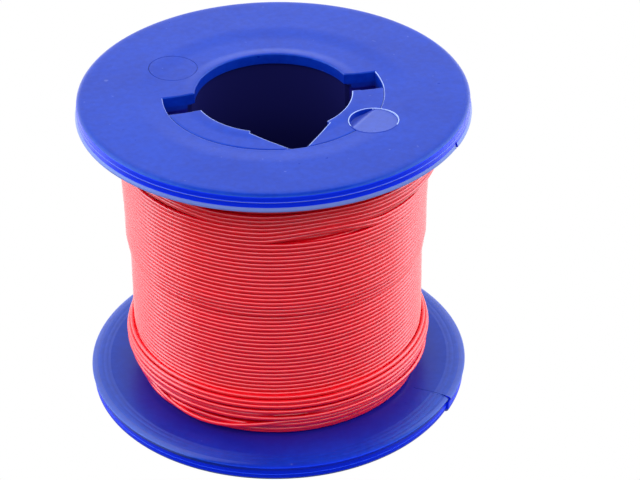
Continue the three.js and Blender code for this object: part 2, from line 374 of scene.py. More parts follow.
def finish_piece(piece, slot, node_name, sharp_degrees=40):
    """Shades a piece, gives it its material, and hides the CAD node it stands for."""
    mesh = piece.data
    mesh.materials.clear()
    mesh.materials.append(MATERIALS[slot])
    mesh.polygons.foreach_set("use_smooth", [True] * len(mesh.polygons))
    mesh.set_sharp_from_angle(angle=math.radians(sharp_degrees))
    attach(piece, "root")
    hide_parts(node_name)


def boolean(piece, tools, operation):
    """Joins tools to a piece or cuts them out of it, and removes the tools."""
    for tool in tools:
        modifier = piece.modifiers.new("boolean", "BOOLEAN")
        modifier.operation = operation
        modifier.solver = "MANIFOLD"
        modifier.object = tool
    bpy.context.view_layer.update()
    evaluated = piece.evaluated_get(bpy.context.evaluated_depsgraph_get())
    changed = bpy.data.meshes.new_from_object(evaluated)
    piece.modifiers.clear()
    old, piece.data = piece.data, changed
    bpy.data.meshes.remove(old)
    for tool in tools:
        bpy.data.objects.remove(tool)


def smooth_step(value, low, high):
    part = np.clip((value - low) / (high - low), 0, 1)
    return part * part * (3 - 2 * part)


def hump(degrees, start, end):
    """Rises from 0 at the start angle to 1 halfway and back to 0 at the end angle."""
    part = ((degrees - start) % 360) / (end - start)
    return np.where(part < 1, np.sin(np.pi * np.clip(part, 0, 1)) ** 2, 0.0)


def polar_points(angle, radius, height):
    x, y = radius * np.cos(angle), radius * np.sin(angle)
    return np.stack(np.broadcast_arrays(x, y, height), axis=-1)


def angle_and_radius(points):
    return np.arctan2(points[:, 1], points[:, 0]), np.hypot(points[:, 0], points[:, 1])


ROUND_STEPS = 96


def round_row(centre, radius, height):
    """Points of a circle about a centre [x, y]."""
    around = np.linspace(0, 2 * np.pi, ROUND_STEPS, endpoint=False)
    return polar_points(around, radius, height) + [*centre, 0]


# ---- Keyed opening ----

NOTCH_MOUTH_RADIUS = 19.7
NOTCH_MOUTH_HALF_ANGLE = 0.513
NOTCH_BOTTOM_HALF = low_and_high("upper_hub_plate_right")[0][0]


def notch_line():
    """The notch's right side as an outward direction and its distance from the axis."""
    mouth = NOTCH_MOUTH_RADIUS * np.array(
        [math.sin(NOTCH_MOUTH_HALF_ANGLE), -math.cos(NOTCH_MOUTH_HALF_ANGLE)]
    )
    along = np.array([NOTCH_BOTTOM_HALF, -SEAM_RADIUS]) - mouth
    outward = np.array([-along[1], along[0]]) / np.hypot(*along)
    return outward, outward @ mouth


def keyed_radius(angle, grow, end):
    """How far the keyed opening reaches at each angle, grown by a width: bore, slots and notch."""
    aside, forward = np.abs(np.cos(angle)), -np.sin(angle)
    outward, distance = notch_line()
    slots = np.minimum((SLOT_HALF + grow) / np.maximum(np.abs(forward), TINY), end + grow)
    side = (distance + grow) / np.maximum(aside * outward[0] - forward * outward[1], TINY)
    notch = np.minimum(side, (end + grow) / np.maximum(forward, TINY))
    in_notch = forward > math.cos(NOTCH_MOUTH_HALF_ANGLE)
    return np.maximum(BORE_RADIUS + grow, np.where(in_notch, notch, slots))


def flange_opening(angle, grow):
    """The flange's own opening: the bore and slot sides behind, the hub plates' seam in front."""
    behind = np.maximum(np.sin(angle), TINY)
    return np.clip((SLOT_HALF + grow) / behind, BORE_RADIUS + grow, SEAM_RADIUS + grow)


def spread_angles(start, end, step, corners, fine=0.12):
    """Angles in radians from evenly spaced degrees, with more of them beside each corner."""
    even = np.arange(start, end, step)
    beside = np.concatenate([corner + np.arange(-8, 9) * fine for corner in corners])
    near = np.concatenate([corner + np.array([-0.01, 0.01]) for corner in corners])
    every = np.unique(np.round(np.concatenate([even, beside, near]), 4))
    return np.radians(every[(every >= start) & (every < end)])


SLOT_CORNER = math.degrees(math.asin(SLOT_HALF / BORE_RADIUS))
SEAM_CORNER = math.degrees(math.asin(SLOT_HALF / SEAM_RADIUS))


# ---- Flanges ----

EDGE_ROUND = 0.35
FACE_DROP = 0.04  # room for the outer face's warp
WARPS = ((0.02, 2, 0.6), (0.012, 3, 2.1))  # size, waves round the flange, and phase
HUB = {"lip": 0.08, "valley": 0.3, "lip_end": 19.4, "valley_start": 22.4, "rise": 26.5, "flat": 33.0}
UNDERCUT = 1.4
WEB_RAMP = {"start": 0.3, "end": 2.5, "recess": 0.4, "slope": 0.2}
RIM = {
    "round_width": 1.4, "round_depth": 0.95, "parting": 1.95, "lip_start": 3.0, "lip_end": 4.15,
    "lip_out": 0.45, "bevel_width": 4.7, "bevel_power": 2.2,
}
PARTING_LINE = ((-0.16, 0.0), (-0.06, 0.09), (0.06, 0.09), (0.16, 0.0))  # depth, and how far out
RIDGES = {"places": (1.5, 2.9, 4.1), "height": 0.05, "width": 0.22}  # faint rings on the bevel
SUNKEN_RIM = {"depth": 0.6, "degrees": 56, "upper_share": 0.25}
SLIT = {"degrees": -39.0, "inner": 37.6, "outer": 49.0, "bend_degrees": 0.6}
LOWER_SLIT = {"opens": 44.2, "open": 46.5, "width": 0.12, "wider": 0.4, "depth": 0.09, "deeper": 1.8}
UPPER_SLIT = {"length": 3.2, "width": 0.25, "wider": 0.6, "depth": 0.3, "deeper": 1.7}


def face_depth(angle, radius):
    """How far the outer face lies below its flat ring: a lip round the bore, then a valley."""
    lip = HUB["lip"] * (1 - smooth_step(radius, HUB["lip_end"], HUB["valley_start"]))
    valley = HUB["valley"] * smooth_step(radius, HUB["lip_end"], HUB["valley_start"])
    valley = valley * (1 - smooth_step(radius, HUB["rise"], HUB["flat"]))
    warp = sum(size * np.sin(waves * angle + phase) for size, waves, phase in WARPS)
    return lip + valley + warp * smooth_step(radius, HUB["flat"], FLANGE_RADIUS) + FACE_DROP


def web_rows(hollow, opening):
    """The inner side of a web, from behind its undercut to the opening's edge. The web is thin at
    the bore and nearly as thick as the flange round the slots."""
    start, end = BORE_RADIUS + WEB_RAMP["start"], BORE_RADIUS + WEB_RAMP["end"]
    depth = WEB + (THICKNESS - WEB - WEB_RAMP["recess"]) * smooth_step(opening, start, end)
    return [(hollow, THICKNESS), (hollow, depth + WEB_RAMP["slope"]), (opening, depth)]


def edge_turns(count):
    """The turn of a rounded edge at each of its rows."""
    return np.linspace(0, math.pi / 2, count)


def rim_growth(angle, upper):
    """The rim is drawn in on the notch's side of the lock slit, more so on the lower flange."""
    before = (SLIT["degrees"] - np.degrees(angle)) % 360
    sunk = SUNKEN_RIM["depth"] * (1 - smooth_step(before, 0, SUNKEN_RIM["degrees"]))
    return -sunk * (SUNKEN_RIM["upper_share"] if upper else 1.0)


def rim_rows(angle, upper):
    """Rows over the rim as radius and depth: round edge, wall with parting line, lip and bevel."""
    growth = rim_growth(angle, upper)
    lip, body = FLANGE_RADIUS + growth, FLANGE_RADIUS - RIM["lip_out"]
    if not upper:
        body = body + growth
    rows = []
    for turn in edge_turns(9)[1:]:
        across = RIM["round_width"] * (1 - math.sin(turn))
        rows.append((body - across, RIM["round_depth"] * (1 - math.cos(turn)) + FACE_DROP))
    rows += [(body + out, RIM["parting"] + depth) for depth, out in PARTING_LINE]
    rows.append((body, RIM["lip_start"]))
    for part in (0.25, 0.5, 0.75, 1.0):
        drop = (RIM["lip_end"] - RIM["lip_start"]) * part
        rows.append((body + (lip - body) * smooth_step(part, 0, 1), RIM["lip_start"] + drop))
    drop = THICKNESS - RIM["lip_end"]
    for turn in edge_turns(34)[1:]:
        across = math.cos(turn) ** (2 / RIM["bevel_power"])
        down = math.sin(turn) ** (2 / RIM["bevel_power"])
        from_rim = RIM["bevel_width"] * (1 - across)
        ridges = sum(
            RIDGES["height"] * math.exp(-((from_rim - place) / RIDGES["width"]) ** 2)
            for place in RIDGES["places"]
        )
        rows.append((lip - from_rim, RIM["lip_end"] + drop * down - ridges))
    return rows


def flange_rows(angle, upper):
    """The whole section at each angle, from the opening's edge over the rim and back."""
    rows = []
    for turn in edge_turns(6):
        radius = flange_opening(angle, EDGE_ROUND * (1 - math.cos(turn)))
        rows.append((radius, face_depth(angle, radius) + EDGE_ROUND * (1 - math.sin(turn))))
    inner = flange_opening(angle, EDGE_ROUND)
    flat_start = HUB["flat"] + 1
    flat_end = FLANGE_RADIUS - RIM["lip_out"] - SUNKEN_RIM["depth"] - RIM["round_width"]
    for start, end, steps in ((inner, flat_start, 31), (flat_start, flat_end, 13)):
        for part in np.linspace(0, 1, steps)[1:]:
            radius = start + (end - start) * part
            rows.append((radius, face_depth(angle, radius)))
    rows += rim_rows(angle, upper)
    bevel_inner = FLANGE_RADIUS - SUNKEN_RIM["depth"] - RIM["bevel_width"]
    socket_outer, socket_inner = BARREL_OUTER + CLEARANCE, BARREL_INNER - CLEARANCE
    rows += [(radius, THICKNESS) for radius in np.linspace(bevel_inner, socket_outer, 8)[1:]]
    rows += [(radius, BARREL_END - CLEARANCE) for radius in (socket_outer, socket_inner)]
    rows.append((socket_inner, THICKNESS))
    hollow = np.minimum(flange_opening(angle, UNDERCUT), socket_inner - 0.12)
    return rows + web_rows(hollow, flange_opening(angle, 0))


def place_rows(angle, rows, upper):
    """Turns rows of radius and depth into points on the upper or the lower flange."""
    columns = [
        polar_points(angle, radius, HEIGHT - depth if upper else depth) for radius, depth in rows
    ]
    return np.stack(columns, axis=1)


def slit_tool(name, inner, steps, profile):
    """An upright knife along the slit's bent path. The profile gives its width, low and high from
    the distance to the axis."""
    part = np.linspace(0, 1, steps)
    radius = inner + (SLIT["outer"] - inner) * part
    bend = SLIT["bend_degrees"] * np.sin(np.pi * part)
    path = polar_points(np.radians(SLIT["degrees"] + bend), radius, 0)[:, :2]
    along = np.gradient(path, axis=0)
    across = np.stack([-along[:, 1], along[:, 0]], axis=1)
    across /= np.linalg.norm(across, axis=1)[:, None]
    rings = []
    for point, side, width, low, high in zip(path, across, *np.broadcast_arrays(*profile(radius))):
        left, right = point + side * width / 2, point - side * width / 2
        rings.append([[*left, low], [*right, low], [*right, high], [*left, high]])
    return make_object(name, rings, grid_faces(len(rings), 4, ring=False))


def lower_slit(radius):
    """A hairline over the inner face that opens to a slit through the bevelled rim."""
    opened = smooth_step(radius, LOWER_SLIT["opens"], LOWER_SLIT["open"])
    width = LOWER_SLIT["width"] + LOWER_SLIT["wider"] * opened
    return width, THICKNESS - LOWER_SLIT["depth"] - LOWER_SLIT["deeper"] * opened, THICKNESS + 1


def upper_slit(radius):
    """The upper rim's slit: a wedge-shaped notch in the lower lip."""
    opened = smooth_step(radius, FLANGE_RADIUS - UPPER_SLIT["length"], FLANGE_RADIUS)
    width, inner_face = UPPER_SLIT["width"] + UPPER_SLIT["wider"] * opened, HEIGHT - THICKNESS
    return width, inner_face - 1, inner_face + UPPER_SLIT["depth"] + UPPER_SLIT["deeper"] * opened


# ---- Round marks ----

SCOOP = {"downhill": (-0.71, 0.70), "start": 0.36, "end": 0.92}  # shares of the mark's radius


def groove_tool():
    """A thin round groove for the flush mark's outline."""
    half, floor = MARK["groove"] / 2, HEIGHT - HUB["valley"] - MARK["groove_depth"]
    section = [(-half * 0.5, floor), (half * 0.5, floor), (half, HEIGHT + 1), (-half, HEIGHT + 1)]
    centre = mark_centre(FLUSH_MARK_DEGREES)
    rings = [round_row(centre, MARK["radius"] + out, height) for out, height in section]
    return make_object("groove", np.stack(rings, axis=1), grid_faces(ROUND_STEPS, 4, ring=True))


def disc(name, radius, low, high):
    """A plain upright disc at the sunken mark."""
    rings = [round_row(mark_centre(SUNKEN_MARK_DEGREES), radius, height) for height in (low, high)]
    return make_object(name, rings, grid_faces(2, ROUND_STEPS, ring=False))


def burr_ring():
    """A fine raised edge round the sunken mark."""
    inside, outside = MARK["radius"] - MARK["burr"], MARK["radius"] + MARK["burr"] * 0.6
    rows = []
    for radius, top in ((inside, False), (outside, False), (outside, True), (inside, True)):
        row = round_row(mark_centre(SUNKEN_MARK_DEGREES), radius, HEIGHT - WEB)
        if top:
            row[:, 2] = HEIGHT - (face_depth(*angle_and_radius(row)) - MARK["burr_height"])
        rows.append(row)
    return make_object("burr_ring", np.stack(rows, axis=1), grid_faces(ROUND_STEPS, 4, ring=True))


def scoop_tool():
    """The sunken mark: a round cut whose floor drops away on the side of the bore and the notch."""
    rows = []
    for part in np.linspace(0.02, 1, 22):
        row = round_row((0, 0), SCOOP_RADIUS * part, 0.0)
        tipped = row[:, :2] @ SCOOP["downhill"] / SCOOP_RADIUS
        dropped = smooth_step(tipped, SCOOP["start"], SCOOP["end"])
        depth = MARK["floor"] + (MARK["deepest"] - MARK["floor"]) * dropped
        row[:, 2] = HEIGHT - HUB["valley"] - depth
        rows.append(row + [*mark_centre(SUNKEN_MARK_DEGREES), 0])
    top = rows[-1].copy()
    top[:, 2] = HEIGHT + 1
    points = np.stack([top] + rows[::-1], axis=0)
    return make_object("scoop", points, grid_faces(len(points), ROUND_STEPS, ring=False))


# ---- Wear and painted light ----

# Positive values are pale: wear, and painted highlights where edges catch the light. Negative values
# are a painted deep blue glow in place of light inside the plastic.
EDGE_WEAR_AND_PAINTED_LIGHT = {
    "edge": 1.0, "parting": 0.5, "lip": 0.38, "bevel": 0.06, "wall": -1.0, "plate": 0.8,
    "lower_foot": 0.2, "lower_parting": -0.75, "lower_lip": 0.15,
}
# How far each worn or painted place reaches: in from the flange's radius, along its depth, or either
# side.
REACH = {
    "face": 0.9, "seam": 0.13, "parting": 0.07, "lip": 1.6, "wall": 1.2, "wall_from": 0.7,
    "foot": 1.8, "foot_to": 1.5, "plate": 0.26,
}


def flange_wear_and_painted_light(points):
    """Pale wear and painted highlights on the seam's edge beside a slot, the mark's far edge, the
    parting line, lip and bevel, with a painted deep blue glow on the wall. The lower flange's rim has
    the painted glow at the front and back, and painted highlights at the sides."""
    angle, radius = angle_and_radius(points)
    depth = np.minimum(points[:, 2], HEIGHT - points[:, 2])
    at_top, lower = points[:, 2] > HEIGHT - REACH["face"], points[:, 2] < HEIGHT / 2
    from_mark = points[:, :2] - mark_centre(SUNKEN_MARK_DEGREES)
    distance = np.hypot(*from_mark.T)
    # Painted highlight, with some wear, along the seam's edge beside the slots but not at the front.
    seam = at_top & (np.abs(radius - SEAM_RADIUS - 0.1) < REACH["seam"])
    seam &= (np.abs(np.sin(angle)) < 0.62) & (distance > MARK["radius"] + 0.3)
    # Painted highlight on the mark's edge, only on its side away from the camera.
    mark = at_top & (np.abs(distance - MARK["radius"]) < MARK["burr"] + 0.02)
    mark &= from_mark @ TOWARDS_CAMERA[:2] < 0.45 * MARK["radius"]

    from_edge = FLANGE_RADIUS - radius
    rim = from_edge < RIM["bevel_width"] + 1
    parting = rim & (np.abs(depth - RIM["parting"]) < REACH["parting"])
    lip = (from_edge < REACH["lip"]) & (depth > RIM["lip_start"] + 0.05)
    bevel = rim & (depth > RIM["lip_end"] + 0.02)
    wall = (from_edge < REACH["wall"]) & (depth > REACH["wall_from"]) & (depth < RIM["lip_start"])
    foot = lower & (from_edge < REACH["foot"]) & (depth < REACH["foot_to"])
    # Painted highlight: the lower rim is painted paler at the sides, with the painted deep blue glow
    # at the front and back.
    side = smooth_step(np.abs(np.cos(angle)), 0.15, 0.75)
    painted_glow = (1 - side) * smooth_step(THICKNESS - depth, 0, THICKNESS - RIM["lip_end"]) ** 3
    wear_and_painted_light_levels = [
        EDGE_WEAR_AND_PAINTED_LIGHT["edge"], EDGE_WEAR_AND_PAINTED_LIGHT["lower_foot"], np.where(lower, EDGE_WEAR_AND_PAINTED_LIGHT["lower_parting"], EDGE_WEAR_AND_PAINTED_LIGHT["parting"]),
        np.where(lower, EDGE_WEAR_AND_PAINTED_LIGHT["lower_lip"] * side - painted_glow, EDGE_WEAR_AND_PAINTED_LIGHT["lip"]), EDGE_WEAR_AND_PAINTED_LIGHT["wall"],
        np.where(lower, EDGE_WEAR_AND_PAINTED_LIGHT["bevel"] * side - painted_glow, EDGE_WEAR_AND_PAINTED_LIGHT["bevel"]),
    ]
    return np.select([seam | mark, foot, parting, lip, wall, bevel], wear_and_painted_light_levels, 0.0)


def plate_wear_and_highlight(points):
    """Wear and a painted highlight on the edge of the keyed opening."""
    angle, radius = angle_and_radius(points)
    opening = np.abs(radius - keyed_radius(angle, 0.12, SEAM_RADIUS)) < REACH["plate"]
    return np.where((points[:, 2] > HEIGHT - REACH["face"]) & opening, EDGE_WEAR_AND_PAINTED_LIGHT["plate"], 0.0)


# ---- Hub plates ----

SEAM_GAP = 0.09
SEAM_BEVEL = {"width": 0.1, "drop": 0.08}
PLATE_ROUND = 0.3
PLATE_DROP = 0.05
BURR = {"size": 0.22, "beyond_corner": 1.5, "spread": 2.2}  # its place and spread are in degrees
NOTCH_BOTTOM_DEGREES = 4.0  # where the notch's bottom corners are, either side of -Y


def plate_rows(angle, ragged):
    """A hub plate's section at each angle: up the bore side, over its face and down the seam."""
    outer = SEAM_RADIUS - SEAM_GAP
    most = outer - 0.02
    hollow = np.minimum(keyed_radius(angle, UNDERCUT, SEAM_RADIUS), most)
    rows = web_rows(hollow, keyed_radius(angle, 0, SEAM_RADIUS))
    for turn in edge_turns(6):
        grow = PLATE_ROUND * (1 - math.cos(turn))
        radius = np.minimum(keyed_radius(angle, grow, SEAM_RADIUS) + ragged * (turn > 0.3), most)
        rounding = PLATE_ROUND * (1 - math.sin(turn))
        rows.append((radius, face_depth(angle, radius) + PLATE_DROP + rounding))
    inner, bevel = rows[-1][0], outer - SEAM_BEVEL["width"]
    face = [inner + (bevel - inner) * part for part in np.linspace(0, 1, 14)[1:-1]]
    for radius in face + [np.maximum(bevel, inner + 0.004)]:
        rows.append((radius, face_depth(angle, radius) + PLATE_DROP))
    return rows + [(outer, rows[-1][1] + SEAM_BEVEL["drop"]), (outer, THICKNESS)]


def burr(angle, rng):
    """Ragged flash along the edge of the slot side, none elsewhere."""
    from_burr = np.degrees(angle) + SLOT_CORNER - BURR["beyond_corner"]
    return BURR["size"] * np.exp(-(from_burr / BURR["spread"]) ** 2) * rng.normal(size=len(angle))


def hub_plate(level, side, rng):
    name = f"{level}_hub_plate_{'right' if side > 0 else 'left'}"
    mouth = math.degrees(NOTCH_MOUTH_HALF_ANGLE)
    corners = [-SLOT_CORNER, -SEAM_CORNER, -90 + mouth, -90 + NOTCH_BOTTOM_DEGREES]
    angle = spread_angles(-89.9, -1, 0.75, corners)
    width = SEAM_RADIUS - SEAM_GAP - keyed_radius(angle, 0, SEAM_RADIUS)
    angle = angle[width > 0.06]
    upper_right = level == "upper" and side > 0
    ragged = burr(angle, rng) if upper_right else 0.0
    points = place_rows(angle, plate_rows(angle, ragged), level == "upper")
    points[..., 0] *= side
    plate = make_object(f"{name}_web", points, grid_faces(*points.shape[:2], ring=False))
    if upper_right:
        hole = disc("mark_hole", MARK["radius"] + MARK["burr"], HEIGHT - THICKNESS - 1, HEIGHT + 1)
        boolean(plate, [hole], "DIFFERENCE")
    record_wear_and_painted_light(plate, plate_wear_and_highlight)
    finish_piece(plate, "spool_plastic", name)


def flange(level):
    corners = [SLOT_CORNER, SEAM_CORNER, 180 - SLOT_CORNER, 180 - SEAM_CORNER, SLIT["degrees"] + 360]
    angle = spread_angles(0, 360, 0.9, corners)
    points = place_rows(angle, flange_rows(angle, level == "upper"), level == "upper")
    piece = make_object(f"{level}_flange_moulding", points, grid_faces(*points.shape[:2], ring=True))
    if level == "upper":
        pad = disc("pad", MARK["radius"], HEIGHT - WEB, HEIGHT - HUB["valley"] - PLATE_DROP)
        boolean(piece, [pad, burr_ring()], "UNION")
        slit = slit_tool("upper_slit", FLANGE_RADIUS - UPPER_SLIT["length"], 12, upper_slit)
        boolean(piece, [slit, groove_tool(), scoop_tool()], "DIFFERENCE")
    else:
        boolean(piece, [slit_tool("lower_slit", SLIT["inner"], 24, lower_slit)], "DIFFERENCE")
    record_wear_and_painted_light(piece, flange_wear_and_painted_light)
    finish_piece(piece, "spool_plastic", f"{level}_flange")


SLEEVE = {"setback": 0.75, "gap": 0.4, "round": 0.2}


def core_sleeve():
    """The wall of the keyed opening between the flanges, set back behind the webs' undercut."""
    end = math.degrees(math.asin(SLOT_HALF / SLEEVE_END))
    slot, notch = (SLOT_CORNER, end), (math.degrees(NOTCH_MOUTH_HALF_ANGLE), NOTCH_BOTTOM_DEGREES)
    places = ((0, slot), (180, slot), (360, slot), (270, notch))
    corners = [middle + side * at for middle, pair in places for at in pair for side in (-1, 1)]
    angle = spread_angles(0, 360, 1.5, corners)
    inner, outer, soft = SLEEVE["setback"], UNDERCUT - 0.1, SLEEVE["round"]
    low, high = WEB + SLEEVE["gap"], HEIGHT - WEB - SLEEVE["gap"]
    section = [
        (inner, low + soft), (inner, high - soft), (inner + soft, high), (outer - soft, high),
        (outer, high - soft), (outer, low + soft), (outer - soft, low), (inner + soft, low),
    ]
    widest = BARREL_INNER - CLEARANCE - 0.25
    rows = []
    for grow, height in section:
        radius = np.minimum(keyed_radius(angle, grow, SLEEVE_END), widest - outer + grow)
        rows.append(polar_points(angle, radius, height))
    points = np.stack(rows, axis=1)
    piece = make_object("core_sleeve_wall", points, grid_faces(*points.shape[:2], ring=True))
    finish_piece(piece, "spool_plastic", "core_sleeve")


# ---- Winding ----

TURN_STEPS = 96
LAYER_STEP = WIRE * math.sin(math.pi / 3)
FULL_HEIGHT_LAYERS = 4
FOOT_STEP = 1.7  # each layer outside the full-height ones starts this much higher
BACK = math.radians(95)  # a turn is counted from here, behind the spool
WANDER = {
    "layer_height": 0.02, "layer_radius": 0.01, "upper_height": 0.02, "upper_radius": 0.012,
    "crossing_radius": 0.05, "loose_height": 0.07, "loose_radius": 0.05,
}


def wandering(values, spread, rng, width=TURN_STEPS):
    """These values with seeded noise of this spread, which changes slowly."""
    window = np.hanning(width)
    rough = np.convolve(rng.normal(size=len(values) + width), window, mode="same")[:len(values)]
    return values + spread * (rough / np.sqrt((window ** 2).sum()))


def wire_piece(node_name, ending, angle, radius, height, sides=10):
    """A round wire that runs through these places about the axis and stands for a CAD node. It is
    named after the node, with an ending of its own."""
    around = 2 * np.pi * np.arange(sides) / sides
    rings = polar_points(
        angle[:, None] + 0 * around,
        radius[:, None] + PRESSED_RADIUS * np.cos(around),
        height[:, None] + PRESSED_RADIUS * np.sin(around),
    )
    name = f"{node_name}_{ending}"
    piece = make_object(name, rings, grid_faces(len(angle), sides, ring=False))
    finish_piece(piece, "wire_jacket", node_name, sharp_degrees=60)


def layer_turns(number, rng):
    """One full layer. Odd layers climb and even ones come down in the grooves between them."""
    visible = number == LAYERS
    steps = TURN_STEPS if visible else TURN_STEPS // 2
    inset = WIRE_RADIUS * (1 if number % 2 else 2)
    foot = FOOT_STEP * max(0, number - FULL_HEIGHT_LAYERS)
    low, high = WINDING_BOTTOM + foot + inset, WINDING_TOP - inset
    turns = round((high - low) / WIRE)
    part = np.linspace(0, 1, turns * steps + 1)
    angle = BACK + 2 * np.pi * turns * part
    height = low + (high - low) * (part if number % 2 else 1 - part)
    radius = np.full_like(part, WINDING_RADIUS - WIRE_RADIUS - (LAYERS - number) * LAYER_STEP)
    if visible:
        height = wandering(height, WANDER["layer_height"], rng)
        radius = wandering(radius, WANDER["layer_radius"], rng)
    wire_piece(f"wire_layer_{number}", "turns", angle, radius, height, sides=10 if visible else 6)


# Gaps that have opened between turns of the outer layer: the angles where each begins and ends, in
# degrees, the height of the turn under it, its width, and how much winding above it has closed up.
GAP_POWER = 0.6  # below one, a gap opens quickly at its ends
GAPS = (
    {"start": -181, "end": -124, "height": 65.6, "width": 1.0, "reach": 8.5},
    {"start": -74, "end": 60, "height": 63.9, "width": 2.2, "reach": 9.5},
    {"start": -108, "end": -61, "height": 61.8, "width": 1.5, "reach": 9.5},
)
# Where turns on the right stand out, as others cross beneath them, and where they have slid down.
BULGE = {"start": -85, "end": 50, "low": 63.6, "high": 65.0, "most": 1.7}
SAG = {"start": -95, "end": 75, "low": 50, "high": 63, "most": 2.0}


def shifts(angle, turn_height):
    """How far turns are pushed up by the gaps below them, have slid down, and stand out."""
    degrees = np.degrees(angle)
    lift = np.zeros_like(angle)
    for gap in GAPS:
        above = turn_height - gap["height"]
        share = np.where(above > 0, np.clip(1 - above / gap["reach"], 0, 1), 0)
        lift += gap["width"] * share * hump(degrees, gap["start"], gap["end"]) ** GAP_POWER
    down, out = (
        spec["most"] * (hump(degrees, spec["start"], spec["end"])
                        * smooth_step(turn_height, spec["low"], spec["high"]))
        for spec in (SAG, BULGE)
    )
    return lift, down, out


UPPER_RADIUS = WINDING_RADIUS - WIRE_RADIUS + LAYER_STEP
UPPER_FOOT = 1.2  # the upper layer's last turn ends this far above its CAD node's lowest place
SWELL = {"out": 0.5, "low": 48, "high": 66}  # of the upper layer, near the upper flange
SETTLED = {"in": 0.5, "height": 4}  # how far the last turns of the upper layer have sunk in
STAGGER = 0.22  # how far every other turn beside a gap moves out, as a share of its lift


def descending_turns(top, bottom):
    """Angle, height, turn number and turn height of turns that come down from top to bottom."""
    turns = math.ceil((top - bottom) / WIRE)
    part = np.linspace(0, turns, turns * TURN_STEPS + 1)
    number = np.minimum(np.floor(part), turns - 1)
    return BACK + 2 * np.pi * part, top - WIRE * part, number, top - WIRE * (number + 0.5)


def upper_layer(rng):
    """The part layer over the upper half. Returns the radius and height of its end."""
    top, bottom = UPPER_LAYER_TOP - WIRE_RADIUS, UPPER_LAYER_BOTTOM + UPPER_FOOT
    angle, height, number, turn_height = descending_turns(top, bottom)
    lift, down, out = shifts(angle, turn_height)
    height = height + lift - down
    radius = UPPER_RADIUS + STAGGER * lift * (number % 2)
    radius = radius + SWELL["out"] * smooth_step(height, SWELL["low"], SWELL["high"])
    above_end = SETTLED["height"] - (height - bottom)
    radius = radius - SETTLED["in"] * smooth_step(above_end, 0, SETTLED["height"])
    radius = wandering(radius + out, WANDER["upper_radius"], rng)
    height = wandering(height, WANDER["upper_height"], rng)
    wire_piece("wire_upper_layer", "turns", angle, radius, height)
    return radius[-1], height[-1]


def crossing_turns(rng):
    """The turns under the upper flange, where the wire turns back and crosses over itself."""
    top = WINDING_TOP - WIRE_RADIUS
    angle, height, number, turn_height = descending_turns(top, UPPER_LAYER_TOP + WIRE_RADIUS)
    lift, down, out = shifts(angle, turn_height)
    crossing = hump(np.degrees(angle), -160, 60) * (number % 3 == 1)
    radius = UPPER_RADIUS + SWELL["out"] + 0.2 * (number % 2) + 0.4 * crossing + out
    radius = wandering(radius, WANDER["crossing_radius"], rng, TURN_STEPS // 2)
    height = np.minimum(height + lift - down, top)
    wire_piece("wire_crossing_turns", "outer", angle, radius, height)


# The loose turns at the bottom, from the top one down: height, and how far each one lies inside the
# outermost of them.
LOOSE_TURNS = (
    (17.4, 0.95), (16.3, 0.3), (15.2, 0.05), (13.6, 0.2), (12.3, 0.75), (11.1, 0.75),
    (9.9, 1.25), (8.8, 1.7), (7.7, 2.25), (6.6, 2.85), (5.65, 3.3),
)
# Where a loose turn strays: its number, first and last angle in degrees, and how far out and up.
STRAYS = (
    (9, -185, -130, 0.6, 0.1), (8, -185, -125, -0.3, 0.2), (6, -170, -95, 0.3, -2.6),
    (4, -112, -84, -0.8, 0.25), (3, -80, 0, 0.0, 0.4), (5, -75, 10, 0.2, -0.5),
    (10, -80, -5, 0.45, 0.25),
)
STEP_DOWN = (0.9, 1.0)  # the share of a turn over which the wire moves to its next place
RUN_SHARE = 0.2  # of a turn


def loose_turns(start, rng):
    """The loose bundle at the bottom, which the wire reaches by a slanting run down the back. The
    run starts at this radius and height."""
    outermost = LOOSE_RADIUS - WIRE_RADIUS
    count = len(LOOSE_TURNS)
    part = np.linspace(0, count, count * TURN_STEPS + 1)
    number = np.minimum(np.floor(part).astype(int), count - 1)
    following = np.minimum(number + 1, count - 1)
    places = np.array(LOOSE_TURNS)
    moving = smooth_step(part - number, *STEP_DOWN)[:, None]
    height, inside = (places[number] + (places[following] - places[number]) * moving).T
    radius = outermost - inside
    angle = BACK + 2 * np.pi * part
    for turn, first, last, out, up in STRAYS:
        here = (number == turn) * hump(np.degrees(angle), first, last)
        radius = radius + out * here
        height = height + up * here
    height = wandering(height, WANDER["loose_height"], rng)
    radius = wandering(radius, WANDER["loose_radius"], rng)

    run = smooth_step(part, 0, RUN_SHARE)
    radius = start[0] + (radius - start[0]) * run
    height = np.maximum(start[1] + (height - start[1]) * run, WINDING_BOTTOM + WIRE_RADIUS)
    wire_piece("wire_loose_turns", "bundle", angle, radius, height)


# ---- Cut end of the wire ----

# The same route as the CAD node's: its angles, its heights, and the length of bare strands.
WIRE_END = {"start": 0.95, "end": 1.75, "high": 13.5, "low": 9.5, "bare": 0.5, "steps": 60}
STRAND = {"radius": 0.05, "rings": ((1, 0.0), (6, 0.1), (12, 0.195)), "steps": 9, "sides": 8}


def end_route(part):
    """The route of the wire's last stretch, which leaves the bundle and then lies on it."""
    radius = LOOSE_RADIUS + 0.2 + WIRE_RADIUS - 1.1 * (1 - smooth_step(part, 0, 0.4))
    angle = WIRE_END["start"] + (WIRE_END["end"] - WIRE_END["start"]) * part
    height = WIRE_END["high"] + (WIRE_END["low"] - WIRE_END["high"]) * part
    return polar_points(angle, radius, height)


def tube_points(centres, out, up, radii_along, sides):
    around = 2 * np.pi * np.arange(sides) / sides
    across = np.cos(around)[:, None] * out[:, None, :] + np.sin(around)[:, None] * up[:, None, :]
    return centres[:, None, :] + np.asarray(radii_along)[:, None, None] * across


